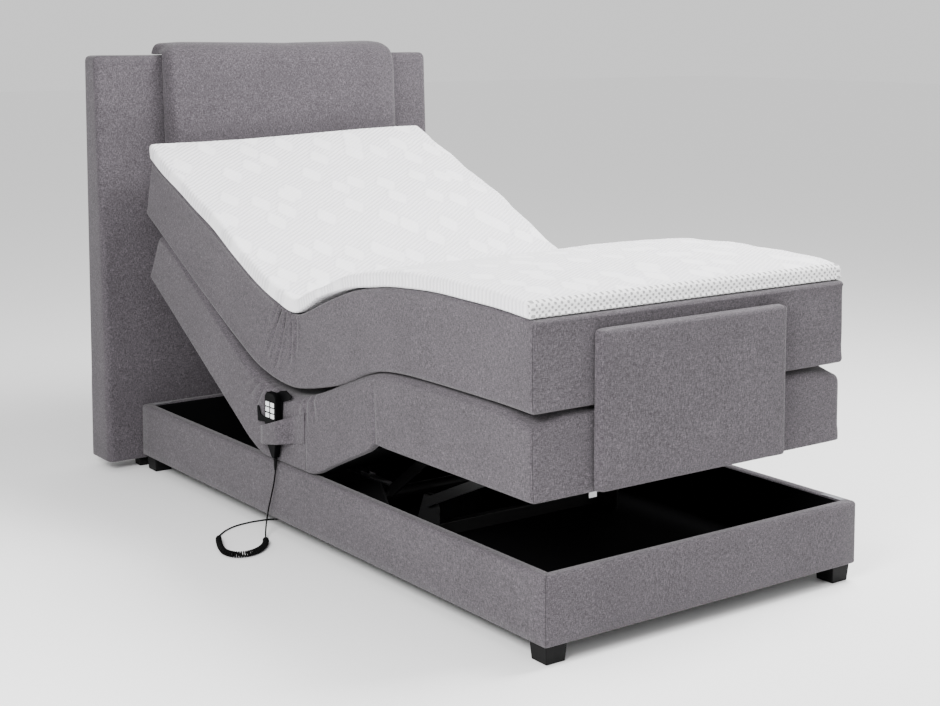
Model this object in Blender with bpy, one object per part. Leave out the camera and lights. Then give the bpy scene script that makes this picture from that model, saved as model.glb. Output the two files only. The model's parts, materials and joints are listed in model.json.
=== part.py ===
"""Adjustable box-spring bed: upholstered frame, headboard, motorised box sections, mattress and topper.

Metres, +Z up. Bed coordinates put y = 0 at the foot end of the frame and x = 0 on its centre line; the
empty "bed" moves them so that the origin is under the middle of the whole object. The bed stands with
its back and legs raised. Each moving section has an empty on its hinge axis, turned to the section's
slope, and its parts are modelled flat in that empty's own axes.
"""
import math

import bmesh
import bpy
from mathutils import Matrix, Vector

GAP = 0.0005  # between pieces that rest on each other

# Frame
FRAME_WIDTH = 1.0
FRAME_LENGTH = 2.04
RAIL_BOTTOM = 0.0454
RAIL_TOP = 0.2053
RAIL_THICK = 0.031
PANEL_BOTTOM = 0.0475
PANEL_THICK = 0.006
FOOT_SIZE = 0.0606
FOOT_INSET = 0.0105

# Headboard: upright back face, front face that leans back towards the top
HEAD_OFFSET = 0.012  # the headboard's middle from the frame's
HEAD_WIDTH = 1.244
HEAD_BOTTOM = 0.028
HEAD_TOP = 1.303
HEAD_FRONT_LOW = FRAME_LENGTH + GAP
HEAD_FRONT_HIGH = 2.106
HEAD_BACK = 2.185
CUSHION_OFFSET = 0.043
CUSHION_WIDTH = 0.87
CUSHION_BOTTOM = 0.9
CUSHION_TOP = 1.343
CUSHION_PROUD = 0.055

# Box sections
SECTION_WIDTH = 0.968
SECTION_HALF = 0.095  # hinge axes lie at half the box's height
HINGE_Z = RAIL_TOP + 0.0007 + SECTION_HALF
BACK_HINGE_Y = 1.268
THIGH_HINGE_Y = 1.02
BACK_LENGTH = 0.76
THIGH_LENGTH = 0.353
LEG_LENGTH = 0.646
BACK_ANGLE = math.radians(31.0)
THIGH_ANGLE = math.radians(24.1)
BACK_TRAVEL = math.radians(55.0)  # from flat to fully raised
THIGH_TRAVEL = math.radians(35.0)
HINGE_CLEAR = 0.0095
HINGE_ROD = 0.006
BOARD_THICK = 0.006
BOARD_INSET = 0.01  # how far the boards stay inside their sections' sides and ends

# Soft layers, above the hinge axes
MATTRESS_WIDTH = 0.99
MATTRESS_LOW = 0.103
MATTRESS_HIGH = 0.308
TOPPER_WIDTH = 1.005
TOPPER_THICK = 0.043
SOFT_SPLIT_BACK = 0.4  # where the bending middle meets the stiff ends, along the sections
SOFT_SPLIT_LEG = -0.105
HIP_LOW = ((1.21, 0.427), (1.11, 0.424), (1.04, 0.43))
HIP_HIGH = ((1.33, 0.711), (1.243, 0.672), (1.145, 0.636), (1.081, 0.631), (0.996, 0.657),
            (0.836, 0.706), (0.72, 0.742), (0.64, 0.7525))

# Lift mechanism
CHASSIS_X = 0.3
CHASSIS_THICK = 0.006
DRIVE_Z = 0.12
BACK_DRIVE_Y = 1.318
THIGH_DRIVE_Y = 0.99
DRIVE_TUBE = 0.0175
ARM_X = 0.26
ARM_THICK = 0.008
BACK_ARM = 0.35
THIGH_ARM = 0.26
BACK_ARM_ANGLE = math.radians(38.3)
THIGH_ARM_ANGLE = math.radians(36.0)
ARM_RATIO = 0.89  # arm turn for each unit of section turn
ROLLER = 0.02
LEVER = 0.047
MOTOR_X = 0.12
MOTOR_Z = 0.0765
MOTOR_RADIUS = 0.0215
LINK_X = 0.3135
LINK_THICK = 0.005
LINK_OFFSET = Vector((0.0, -0.3, -0.13))  # from hinge axis to link pivot, at both ends

# Handset and cord
HANDSET_Y = 1.179
HANDSET_WIDTH = 0.06
HANDSET_TOP = 0.4
HANDSET_SHOULDER = 0.27
HANDSET_TIP = 0.222
HANDSET_TAIL_Y = 1.166
HANDSET_FACE_X = -0.519
HANDSET_THICK = 0.0185
BUTTON_PROUD = 0.0015
CORD_RADIUS = 0.0022
COIL_RADIUS = 0.009
RELIEF_TIP = Vector((-0.5095, 1.169, 0.187))
GLAND = (-0.36, 1.262)


def clear_scene():
    for obj in list(bpy.data.objects):
        bpy.data.objects.remove(obj, do_unlink=True)


def material(name, colour, roughness, metallic=0.0):
    made = bpy.data.materials.get(name) or bpy.data.materials.new(name)
    made.use_nodes = True
    shader = made.node_tree.nodes["Principled BSDF"]
    shader.inputs["Base Color"].default_value = (*colour, 1.0)
    shader.inputs["Roughness"].default_value = roughness
    shader.inputs["Metallic"].default_value = metallic
    return made


def grey_fabric():
    return material("grey_fabric", (0.19, 0.18, 0.19), 0.9)


def white_knit():
    return material("white_knit", (0.8, 0.8, 0.81), 0.85)


def black_board():
    return material("black_board", (0.012, 0.012, 0.014), 0.8)


def black_wood():
    return material("black_wood", (0.02, 0.02, 0.02), 0.45)


def black_steel():
    return material("black_steel", (0.02, 0.02, 0.022), 0.4, 0.7)


def bright_steel():
    return material("bright_steel", (0.6, 0.6, 0.62), 0.3, 1.0)


def black_plastic():
    return material("black_plastic", (0.015, 0.015, 0.017), 0.4)


def button_plastic():
    return material("button_plastic", (0.75, 0.76, 0.78), 0.35)


def black_rubber():
    return material("black_rubber", (0.02, 0.02, 0.02), 0.7)


def empty(name, location, angle=0.0, parent=None):
    made = bpy.data.objects.new(name, None)
    bpy.context.collection.objects.link(made)
    made.location = location
    made.rotation_euler = (angle, 0.0, 0.0)
    made.parent = parent
    return made


def add_object(name, bm, finish, parent, smooth=False):
    bmesh.ops.recalc_face_normals(bm, faces=bm.faces)
    mesh = bpy.data.meshes.new(name)
    bm.to_mesh(mesh)
    bm.free()
    mesh.materials.append(finish)
    if smooth:
        mesh.shade_smooth()
        mesh.set_sharp_from_angle(angle=math.radians(40))
    obj = bpy.data.objects.new(name, mesh)
    bpy.context.collection.objects.link(obj)
    obj.parent = parent
    return obj


def round_edges(obj, width, segments=2):
    bevel = obj.modifiers.new("edges", "BEVEL")
    bevel.width = width
    bevel.segments = segments
    bevel.limit_method = "ANGLE"
    bevel.angle_limit = math.radians(35)
    return obj


def prism(name, outline, x_low, x_high, finish, parent, edge=0.0, smooth=False):
    """The outline of (y, z) points, pushed along x."""
    bm = bmesh.new()
    face = bm.faces.new([bm.verts.new((x_low, y, z)) for y, z in outline])
    made = bmesh.ops.extrude_face_region(bm, geom=[face])
    moved = [item for item in made["geom"] if isinstance(item, bmesh.types.BMVert)]
    bmesh.ops.translate(bm, verts=moved, vec=(x_high - x_low, 0, 0))
    obj = add_object(name, bm, finish, parent, smooth)
    return round_edges(obj, edge) if edge else obj


def block(name, x, y, z, finish, parent, edge=0.0):
    outline = [(y[0], z[0]), (y[1], z[0]), (y[1], z[1]), (y[0], z[1])]
    return prism(name, outline, x[0], x[1], finish, parent, edge)


def arc(y, z, radius, start, end, steps):
    """Points on a circle in the (y, z) plane, angles in degrees from +y towards +z."""
    turns = [math.radians(start + (end - start) * i / steps) for i in range(steps + 1)]
    return [(y + radius * math.cos(a), z + radius * math.sin(a)) for a in turns]


def rod_x(name, radius, x_low, x_high, y, z, finish, parent, sides=16):
    outline = arc(y, z, radius, 0, 360, sides)[:-1]
    return prism(name, outline, x_low, x_high, finish, parent, smooth=True)


def rod_along(name, radius, start, end, finish, parent, sides=16, end_radius=None):
    """A cylinder or cone from start to end."""
    start, end = Vector(start), Vector(end)
    bm = bmesh.new()
    bmesh.ops.create_cone(
        bm, cap_ends=True, segments=sides, radius1=radius,
        radius2=radius if end_radius is None else end_radius, depth=(end - start).length,
        matrix=Matrix.Translation((start + end) / 2)
        @ (end - start).to_track_quat("Z", "Y").to_matrix().to_4x4(),
    )
    return add_object(name, bm, finish, parent, smooth=True)


def helper(obj):
    obj.hide_render = True
    obj.display_type = "WIRE"
    return obj


def combine(target, others, operation="UNION"):
    for other in others:
        change = target.modifiers.new(operation.lower(), "BOOLEAN")
        change.operation = operation
        change.solver = "EXACT"
        change.object = helper(other)
    return target


def capsule(start, end, radius, steps=6):
    """A bar outline with round ends between two (y, z) points."""
    way = math.degrees(math.atan2(end[1] - start[1], end[0] - start[0]))
    return (arc(*start, radius, way + 90, way + 270, steps)
            + arc(*end, radius, way - 90, way + 90, steps))


def curve_through(points, spacing):
    """Points on a Catmull-Rom curve through the given ones, about this far apart."""
    points = [Vector(p) for p in points]
    ends = [2 * points[0] - points[1]] + points + [2 * points[-1] - points[-2]]
    route = []
    for a, b, c, d in zip(ends, ends[1:], ends[2:], ends[3:]):
        steps = max(1, round((c - b).length / spacing))
        for i in range(steps):
            t = i / steps
            route.append(0.5 * (2 * b + (c - a) * t + (2 * a - 5 * b + 4 * c - d) * t * t
                                + (3 * b - a - 3 * c + d) * t ** 3))
    return route + [points[-1]]


def tube(name, points, radius, spacing, finish, parent, resolution=2):
    curve = bpy.data.curves.new(name, "CURVE")
    curve.dimensions = "3D"
    curve.bevel_depth = radius
    curve.bevel_resolution = resolution
    curve.use_fill_caps = True
    route = curve_through(points, spacing)
    spline = curve.splines.new("POLY")
    spline.points.add(len(route) - 1)
    for point, place in zip(spline.points, route):
        point.co = (*place, 1.0)
    curve.materials.append(finish)
    obj = bpy.data.objects.new(name, curve)
    bpy.context.collection.objects.link(obj)
    obj.parent = parent
    return obj


def frame(bed):
    half = FRAME_WIDTH / 2
    inner = half - RAIL_THICK
    height = (RAIL_BOTTOM, RAIL_TOP)
    fabric = grey_fabric()
    block("foot_rail", (-half, half), (0, RAIL_THICK), height, fabric, bed, 0.006)
    for side, name in ((-1, "side_rail_left"), (1, "side_rail_right")):
        x = sorted((side * inner, side * half))
        block(name, x, (RAIL_THICK + GAP, FRAME_LENGTH), height, fabric, bed, 0.006)
    x = (-inner + GAP, inner - GAP)
    block("head_rail", x, (FRAME_LENGTH - RAIL_THICK, FRAME_LENGTH), height, fabric, bed, 0.006)
    panel_y = (RAIL_THICK + 2 * GAP, FRAME_LENGTH - RAIL_THICK - GAP)
    block("base_panel", x, panel_y, (PANEL_BOTTOM, PANEL_BOTTOM + PANEL_THICK), black_board(), bed)


def taper_block(name, x, y, z, taper, finish, parent):
    """A foot that narrows towards the floor."""
    bm = bmesh.new()
    bmesh.ops.create_cube(bm, size=1.0)
    middle = Vector((sum(x) / 2, sum(y) / 2, sum(z) / 2))
    size = Vector((x[1] - x[0], y[1] - y[0], z[1] - z[0]))
    for vert in bm.verts:
        narrow = 1.0 - taper if vert.co.z < 0 else 1.0
        vert.co = middle + Vector((vert.co.x * size.x * narrow, vert.co.y * size.y * narrow,
                                   vert.co.z * size.z))
    return round_edges(add_object(name, bm, finish, parent), 0.002)


def feet(bed):
    outer = FRAME_WIDTH / 2 - FOOT_INSET
    for side, across in ((-1, "left"), (1, "right")):
        x = sorted((side * outer, side * (outer - FOOT_SIZE)))
        for low, along in ((FOOT_INSET, "front"), (FRAME_LENGTH - FOOT_INSET - FOOT_SIZE, "rear")):
            taper_block(f"foot_{along}_{across}", x, (low, low + FOOT_SIZE),
                        (0, RAIL_BOTTOM - GAP), 0.12, black_wood(), bed)
        x = sorted((HEAD_OFFSET + side * 0.47, HEAD_OFFSET + side * 0.51))
        taper_block(f"headboard_glide_{across}", x, (HEAD_BACK - 0.12, HEAD_BACK - 0.08),
                    (0, HEAD_BOTTOM - GAP), 0.1, black_wood(), bed)


def head_front(z):
    share = (z - HEAD_BOTTOM) / (HEAD_TOP - HEAD_BOTTOM)
    return HEAD_FRONT_LOW + (HEAD_FRONT_HIGH - HEAD_FRONT_LOW) * share


def headboard(bed):
    low, high = HEAD_OFFSET - HEAD_WIDTH / 2, HEAD_OFFSET + HEAD_WIDTH / 2
    outline = [(head_front(HEAD_BOTTOM), HEAD_BOTTOM), (HEAD_BACK, HEAD_BOTTOM),
               (HEAD_BACK, HEAD_TOP), (head_front(HEAD_TOP), HEAD_TOP)]
    prism("headboard_body", outline, low, high, grey_fabric(), bed, 0.014)
    low, high = CUSHION_OFFSET - CUSHION_WIDTH / 2, CUSHION_OFFSET + CUSHION_WIDTH / 2
    over = HEAD_TOP + GAP
    outline = [(head_front(CUSHION_BOTTOM) - CUSHION_PROUD, CUSHION_BOTTOM),
               (head_front(CUSHION_BOTTOM) - GAP, CUSHION_BOTTOM),
               (head_front(over) - GAP, over), (HEAD_BACK, over), (HEAD_BACK, CUSHION_TOP),
               (head_front(CUSHION_TOP) - CUSHION_PROUD, CUSHION_TOP)]
    prism("headboard_cushion", outline, low, high, grey_fabric(), bed, 0.012)


def core_outline(low, high, low_cut, high_cut):
    """A section's side outline. Each cut is how far its top (+) or bottom (-) end leans in."""
    return [(low + max(-low_cut, 0), -SECTION_HALF + BOARD_THICK + GAP),
            (high - max(-high_cut, 0), -SECTION_HALF + BOARD_THICK + GAP), (high, 0),
            (high - max(high_cut, 0), SECTION_HALF), (low + max(low_cut, 0), SECTION_HALF), (low, 0)]


def section(name, parent, low, high, low_cut=0.0, high_cut=0.0, brackets=()):
    """An upholstered core on its own base board, and the board's brackets."""
    half = SECTION_WIDTH / 2
    prism(f"{name}_core", core_outline(low, high, low_cut, high_cut), -half, half,
          grey_fabric(), parent)
    low += max(-low_cut, 0)
    high -= max(-high_cut, 0)
    half -= BOARD_INSET
    board = block(f"{name}_board", (-half, half), (low + BOARD_INSET, high - BOARD_INSET),
                  (-SECTION_HALF, -SECTION_HALF + BOARD_THICK), black_board(), parent)
    combine(board, brackets)


def link_brackets(leg):
    """Ears under the lower leg board that the support links reach."""
    made = []
    for side in (-1, 1):
        x = side * (LINK_X + LINK_THICK / 2 + 0.001)
        y, z = LINK_OFFSET.y, LINK_OFFSET.z
        outline = [(y - 0.03, -SECTION_HALF + 0.003), *arc(y, z, 0.013, 180, 360, 6),
                   (y + 0.03, -SECTION_HALF + 0.003)]
        made.append(prism(f"link_bracket_{side}", outline, *sorted((x, x + side * 0.005)),
                          black_board(), leg))
    return made


def box_sections(bed, back, thigh, leg):
    close_back = SECTION_HALF * math.tan(BACK_TRAVEL / 2)
    close_thigh = SECTION_HALF * math.tan(THIGH_TRAVEL / 2)
    seat = empty("seat_axis", (0, 0, HINGE_Z), 0.0, bed)
    section("seat", seat, THIGH_HINGE_Y + HINGE_CLEAR, BACK_HINGE_Y - HINGE_CLEAR,
            close_thigh, close_back)
    section("back", back, HINGE_CLEAR, BACK_LENGTH, close_back, 0.0)
    section("thigh", thigh, -THIGH_LENGTH + HINGE_CLEAR, -HINGE_CLEAR, -close_thigh, close_thigh)
    section("leg", leg, -LEG_LENGTH, -HINGE_CLEAR, 0.0, -close_thigh, link_brackets(leg))
    for name, parent in (("back", back), ("thigh", thigh), ("knee", leg)):
        rod_x(f"{name}_hinge_rod", HINGE_ROD, -SECTION_WIDTH / 2, SECTION_WIDTH / 2, 0, 0,
              bright_steel(), parent, 12)


def on_section(axis, angle, along, above):
    """Bed coordinates (y, z) of a point given in a section's own axes."""
    return (axis[0] + along * math.cos(angle) - above * math.sin(angle),
            axis[1] + along * math.sin(angle) + above * math.cos(angle))


def smooth_line(points, spacing=0.04):
    return [tuple(p[:2]) for p in curve_through([(y, z, 0) for y, z in points], spacing)]


def raised(line, first, last, distance):
    """The line moved to its upper side, with the given directions at its two ends."""
    moved = []
    for i, (y, z) in enumerate(line):
        if 0 < i < len(line) - 1:
            along = Vector(line[i - 1]) - Vector(line[i + 1])
            up = Vector((-along.y, along.x)).normalized()
        else:
            up = Vector(last if i else first)
        moved.append((y + up.x * distance, z + up.y * distance))
    return moved


def soft_layers(bed, back, leg, knee):
    """Mattress and topper: a stiff end on each outer section and a bending middle between them."""
    mattress, topper = MATTRESS_WIDTH / 2, TOPPER_WIDTH / 2
    hip, turn = (BACK_HINGE_Y, HINGE_Z), BACK_ANGLE
    start, split = SOFT_SPLIT_BACK, SOFT_SPLIT_LEG
    high = 0.304
    near = start - GAP
    low_line = smooth_line(
        [on_section(hip, turn, t, MATTRESS_LOW) for t in (near, 0.3, 0.2, 0.1)] + list(HIP_LOW)
        + [on_section((THIGH_HINGE_Y, HINGE_Z), -THIGH_ANGLE, t, MATTRESS_LOW)
           for t in (-0.1, -0.2, -0.3)]
        + [(knee.y + 0.012, knee.z + MATTRESS_LOW - 0.004)]
        + [(knee.y + split + t, knee.z + MATTRESS_LOW) for t in (0.05, GAP)])
    high_line = smooth_line(
        [on_section(hip, turn, near, high), *HIP_HIGH,
         (knee.y + split + GAP, knee.z + MATTRESS_HIGH)])
    prism("mattress_mid", high_line + low_line[::-1], -mattress, mattress, grey_fabric(), bed)
    ends = ((-math.sin(turn), math.cos(turn)), (0.0, 1.0))
    outline = raised(high_line, *ends, GAP) + raised(high_line, *ends, TOPPER_THICK)[::-1]
    prism("topper_mid", outline, -topper, topper, white_knit(), bed)
    outline = [(start, MATTRESS_LOW), (0.88, MATTRESS_LOW), (0.93, 0.235), (start, high)]
    prism("mattress_back", outline, -mattress, mattress, grey_fabric(), back, 0.01)
    outline = [(start, high + GAP), (0.935, 0.235 + GAP), (0.97, 0.277), (start, high + TOPPER_THICK)]
    prism("topper_back", outline, -topper, topper, white_knit(), back, 0.01)
    y = (-LEG_LENGTH, split)
    block("mattress_leg", (-mattress, mattress), y, (MATTRESS_LOW, MATTRESS_HIGH),
          grey_fabric(), leg, 0.01)
    block("topper_leg", (-topper, topper), y,
          (MATTRESS_HIGH + GAP, MATTRESS_HIGH + TOPPER_THICK), white_knit(), leg, 0.01)


def foot_panel(leg):
    y_back = -LEG_LENGTH - 0.0015
    x = (-0.326, 0.27)
    z = (-SECTION_HALF + 0.0015, 0.28)
    outline = [(x[0], z[0]), (x[1], z[0]), (x[1], z[1]), (x[0], z[1])]
    bm = bmesh.new()
    face = bm.faces.new([bm.verts.new((px, y_back, pz)) for px, pz in outline])
    made = bmesh.ops.extrude_face_region(bm, geom=[face])
    moved = [item for item in made["geom"] if isinstance(item, bmesh.types.BMVert)]
    bmesh.ops.translate(bm, verts=moved, vec=(0, -0.025, 0))
    uprights = [e for e in bm.edges if abs(e.verts[0].co.y - e.verts[1].co.y) > 0.01]
    bmesh.ops.bevel(bm, geom=uprights, offset=0.018, segments=4, profile=0.5, affect="EDGES")
    round_edges(add_object("foot_panel", bm, grey_fabric(), leg), 0.006)


def lift_frame(name, parent, way, length, angle, travel, flat_arm, motor_x):
    """A cross tube with two lifting arms, and a lever under it for the motor's rod.

    way is +1 where the arms point to the head end and -1 where they point to the foot end. The
    parent's origin is on the tube's axis, and the arms stand at their raised angle.
    """
    finish = black_steel()
    frame_tube = rod_x(f"{name}_lift_frame", DRIVE_TUBE, -CHASSIS_X + 0.0005, CHASSIS_X - 0.0005,
                       0, 0, finish, parent, 16)
    tip = (way * length * math.cos(angle), length * math.sin(angle))
    arms = [prism(f"{name}_arm_{side}", capsule((0, 0), tip, 0.0145),
                  side * ARM_X - ARM_THICK / 2, side * ARM_X + ARM_THICK / 2, finish, parent)
            for side in (-1, 1)]
    middle = flat_arm + travel * ARM_RATIO / 2
    hang = -math.pi / 2 + (angle - middle)
    end = (way * LEVER * math.cos(hang), LEVER * math.sin(hang))
    lever = prism(f"{name}_lever", capsule((0, 0), end, 0.0105),
                  motor_x - 0.004, motor_x + 0.004, finish, parent)
    combine(frame_tube, [*arms, lever])
    inside = ARM_X - ARM_THICK / 2 - 0.001
    rod_x(f"{name}_roller", ROLLER, -inside, inside, *tip, black_plastic(), parent, 20)
    return end


def motor(name, parent, x, way, rear, lever_end):
    """A linear motor along y: gear head and barrel, and a rod that slides in it, ending in a fork."""
    z = MOTOR_Z
    finish = black_plastic()
    head = block(f"{name}_motor_housing", (x - 0.03, x + 0.03), sorted((rear, rear + way * 0.1)),
                 (PANEL_BOTTOM + PANEL_THICK + 0.002, 0.145), finish, parent, 0.004)
    nose = rear + way * 0.33
    barrel = rod_along(f"{name}_barrel", MOTOR_RADIUS, (x, rear + way * 0.05, z), (x, nose, z),
                       finish, parent, 16)
    combine(head, [barrel])
    bore = rod_along(f"{name}_bore", 0.0102, (x, nose - way * 0.075, z), (x, nose + way * 0.02, z),
                     finish, parent, 16)
    combine(head, [bore], "DIFFERENCE")
    tip = lever_end - way * 0.012
    rod = rod_along(f"{name}_motor_rod", 0.009, (x, nose - way * 0.03, z), (x, tip - way * 0.01, z),
                    bright_steel(), parent, 12)
    tines = [block(f"{name}_tine_{side}", sorted((x + side * 0.0055, x + side * 0.0105)),
                   sorted((tip - way * 0.02, tip + way * 0.026)), (z - 0.01, z + 0.01),
                   bright_steel(), parent) for side in (-1, 1)]
    root = block(f"{name}_fork_root", (x - 0.0105, x + 0.0105),
                 sorted((tip - way * 0.022, tip - way * 0.006)), (z - 0.01, z + 0.01),
                 bright_steel(), parent)
    combine(rod, [root, *tines])


def chassis(bed):
    """Two upright plates on the base panel that carry both cross tubes, and the bars between them."""
    floor = PANEL_BOTTOM + PANEL_THICK + GAP
    finish = black_steel()
    link = Vector((0, THIGH_HINGE_Y, HINGE_Z)) + LINK_OFFSET
    front, rear = link.y - 0.035, 1.56
    outline = [(front, floor), (rear, floor), (rear, 0.11), (BACK_DRIVE_Y + 0.07, 0.11),
               (BACK_DRIVE_Y + 0.03, 0.165), (THIGH_DRIVE_Y - 0.03, 0.165),
               (THIGH_DRIVE_Y - 0.07, 0.11), (link.y + 0.06, 0.11), (link.y + 0.03, link.z + 0.012),
               (link.y - 0.02, link.z + 0.012), (front, link.z - 0.01)]
    for side, name in ((-1, "chassis_plate_left"), (1, "chassis_plate_right")):
        x = sorted((side * CHASSIS_X, side * (CHASSIS_X + CHASSIS_THICK)))
        prism(name, outline, *x, finish, bed)
    inside = CHASSIS_X - GAP
    for name, y in (("chassis_bar_front", 0.775), ("chassis_bar_rear", 1.515)):
        block(name, (-inside, inside), (y - 0.0125, y + 0.0125), (floor, floor + 0.035),
              finish, bed, 0.002)
    x = (-0.45, -0.36)
    block("control_box", x, (1.0, 1.16), (floor, floor + 0.045), black_plastic(), bed, 0.004)


def support_links(parent):
    """Two bars that keep the lower leg section level, modelled flat about their frame pivot."""
    for side, name in ((-1, "support_link_left"), (1, "support_link_right")):
        x = side * LINK_X
        prism(name, capsule((0, 0), (-THIGH_LENGTH, 0), 0.0125), x - LINK_THICK / 2,
              x + LINK_THICK / 2, black_steel(), parent)


def handset(bed):
    low, high = HANDSET_Y - HANDSET_WIDTH / 2, HANDSET_Y + HANDSET_WIDTH / 2
    back_x = HANDSET_FACE_X + HANDSET_THICK
    outline = [(high, HANDSET_TOP - 0.012), (high - 0.012, HANDSET_TOP), (low + 0.012, HANDSET_TOP),
               (low, HANDSET_TOP - 0.012), (low, HANDSET_SHOULDER),
               (HANDSET_TAIL_Y - 0.007, HANDSET_TIP), (HANDSET_TAIL_Y + 0.007, HANDSET_TIP),
               (high, HANDSET_SHOULDER)]
    shell = prism("handset_shell", outline, HANDSET_FACE_X, back_x, black_plastic(), bed, 0.002)
    width, height, pitch_y, pitch_z = 0.0185, 0.0118, 0.0262, 0.0157
    wells = []
    for row in range(3):
        for column, side in enumerate((1, -1)):
            y = HANDSET_Y + side * pitch_y / 2
            z = 0.368 - row * pitch_z
            outline = [(y - width / 2, z - height / 2), (y + width / 2, z - height / 2),
                       (y + width / 2, z + height / 2), (y - width / 2, z + height / 2)]
            prism(f"handset_button_{row * 2 + column + 1}", outline,
                  HANDSET_FACE_X - BUTTON_PROUD, HANDSET_FACE_X + 0.0025, button_plastic(), bed,
                  0.0008)
            clear = 0.0006
            wells.append(block(f"well_{row}_{column}", (HANDSET_FACE_X - 0.01, HANDSET_FACE_X + 0.0045),
                               (y - width / 2 - clear, y + width / 2 + clear),
                               (z - height / 2 - clear, z + height / 2 + clear),
                               black_plastic(), bed))
    combine(shell, wells, "DIFFERENCE")
    outline = [(1.151, 0.312), (1.245, 0.305), (1.282, 0.301), (1.2855, 0.343), (1.279, 0.345),
               (1.268, 0.323), (1.25, 0.318), (1.19, 0.34), (1.185, 0.394), (1.152, 0.408),
               (1.125, 0.413), (1.094, 0.402), (1.1, 0.394), (1.118, 0.386), (1.145, 0.378)]
    prism("handset_cradle", outline, back_x + 0.0005, back_x + 0.0035, black_plastic(), bed)
    top = Vector((HANDSET_FACE_X + HANDSET_THICK / 2, HANDSET_TAIL_Y, HANDSET_TIP - 0.0012))
    rod_along("handset_strain_relief", 0.0058, top, RELIEF_TIP, black_rubber(), bed, 12, 0.0032)
    return (RELIEF_TIP - top).normalized()


def handset_pocket(bed):
    """A band of fabric across the seat section that holds the handset; both its ends lie on the side."""
    low_y, high_y, stations = THIGH_HINGE_Y + 0.014, BACK_HINGE_Y + 0.012, 12
    side_x, bulge_x, thick = -0.4845, HANDSET_FACE_X - 0.0045, 0.003
    bm = bmesh.new()
    rings = []
    for i in range(stations + 1):
        share = i / stations
        y = low_y + (high_y - low_y) * share
        near = min(1.0, max(0.0, abs(y - HANDSET_Y) - 0.034) / 0.06)
        x = bulge_x + (side_x - thick - bulge_x) * (near * near * (3 - 2 * near))
        top = 0.372 - 0.084 * share - 0.006 * math.sin(math.pi * share)
        bottom = 0.284 - 0.046 * share
        rings.append([bm.verts.new(p) for p in ((x, y, bottom), (x + thick, y, bottom),
                                                (x + thick, y, top), (x, y, top))])
    for a, b in zip(rings, rings[1:]):
        for k in range(4):
            bm.faces.new((a[k], a[(k + 1) % 4], b[(k + 1) % 4], b[k]))
    bm.faces.new(rings[0])
    bm.faces.new(rings[-1])
    add_object("handset_pocket", bm, grey_fabric(), bed)


def handset_cord(bed, way):
    """Down from the handset, a curly stretch on the floor, then under the frame to the gland."""
    rubber = black_rubber()
    drop = [RELIEF_TIP + way * GAP, RELIEF_TIP + way * 0.008, (-0.511, 1.176, 0.146),
            (-0.5125, 1.188, 0.11),
            (-0.515, 1.2, 0.07), (-0.521, 1.2, 0.038), (-0.532, 1.186, 0.017),
            (-0.545, 1.163, 0.0095), (-0.5562, 1.142, 0.0092)]
    tube("handset_cord_drop", drop, CORD_RADIUS, 0.0065, rubber, bed)
    coil = [(-0.5565, 1.1414, 0.0092), (-0.571, 1.116, 0.0092), (-0.592, 1.09, 0.0092),
            (-0.622, 1.068, 0.0092), (-0.656, 1.06, 0.0092), (-0.686, 1.073, 0.0092),
            (-0.697, 1.106, 0.0092), (-0.689, 1.146, 0.0092), (-0.672, 1.19, 0.0092),
            (-0.654, 1.228, 0.0092)]
    tube("handset_cord_coil", coil, COIL_RADIUS, 0.02, rubber, bed, 2)
    lead = [(-0.6538, 1.2285, 0.0092), (-0.644, 1.246, 0.006), (-0.626, 1.269, 0.0026),
            (-0.597, 1.294, 0.0024), (-0.558, 1.314, 0.0024), (-0.512, 1.322, 0.0024),
            (-0.465, 1.318, 0.0024), (-0.424, 1.303, 0.0026), (-0.39, 1.284, 0.007),
            (-0.3685, 1.2675, 0.016), (*GLAND, 0.0275), (*GLAND, 0.0352)]
    tube("handset_cord_lead", lead, CORD_RADIUS, 0.0075, rubber, bed)
    rod_along("cable_gland", 0.0085, (*GLAND, 0.0355), (*GLAND, PANEL_BOTTOM - GAP),
              black_plastic(), bed, 16)


def build():
    clear_scene()
    bed = empty("bed", (-HEAD_OFFSET, -HEAD_BACK / 2, 0))
    back = empty("back_axis", (0, BACK_HINGE_Y, HINGE_Z), BACK_ANGLE, bed)
    thigh = empty("thigh_axis", (0, THIGH_HINGE_Y, HINGE_Z), -THIGH_ANGLE, bed)
    knee = Vector((0, THIGH_HINGE_Y - THIGH_LENGTH * math.cos(THIGH_ANGLE),
                   HINGE_Z + THIGH_LENGTH * math.sin(THIGH_ANGLE)))
    leg = empty("knee_axis", knee, 0.0, bed)
    frame(bed)
    feet(bed)
    headboard(bed)
    box_sections(bed, back, thigh, leg)
    soft_layers(bed, back, leg, knee)
    foot_panel(leg)
    chassis(bed)
    back_drive = empty("back_drive_axis", (0, BACK_DRIVE_Y, DRIVE_Z), 0.0, bed)
    end = lift_frame("back", back_drive, 1, BACK_ARM, BACK_ARM_ANGLE, BACK_TRAVEL,
                     BACK_ARM_ANGLE - ARM_RATIO * BACK_ANGLE, -MOTOR_X)
    motor("back", bed, -MOTOR_X, 1, 0.79, BACK_DRIVE_Y + end[0])
    thigh_drive = empty("thigh_drive_axis", (0, THIGH_DRIVE_Y, DRIVE_Z), 0.0, bed)
    end = lift_frame("thigh", thigh_drive, -1, THIGH_ARM, THIGH_ARM_ANGLE, THIGH_TRAVEL,
                     THIGH_ARM_ANGLE - ARM_RATIO * THIGH_ANGLE, MOTOR_X)
    motor("thigh", bed, MOTOR_X, -1, 1.5, THIGH_DRIVE_Y + end[0])
    link_axis = empty("link_axis", Vector((0, THIGH_HINGE_Y, HINGE_Z)) + LINK_OFFSET,
                      -THIGH_ANGLE, bed)
    support_links(link_axis)
    handset_pocket(bed)
    handset_cord(bed, handset(bed))
    bpy.context.view_layer.update()


build()
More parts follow.
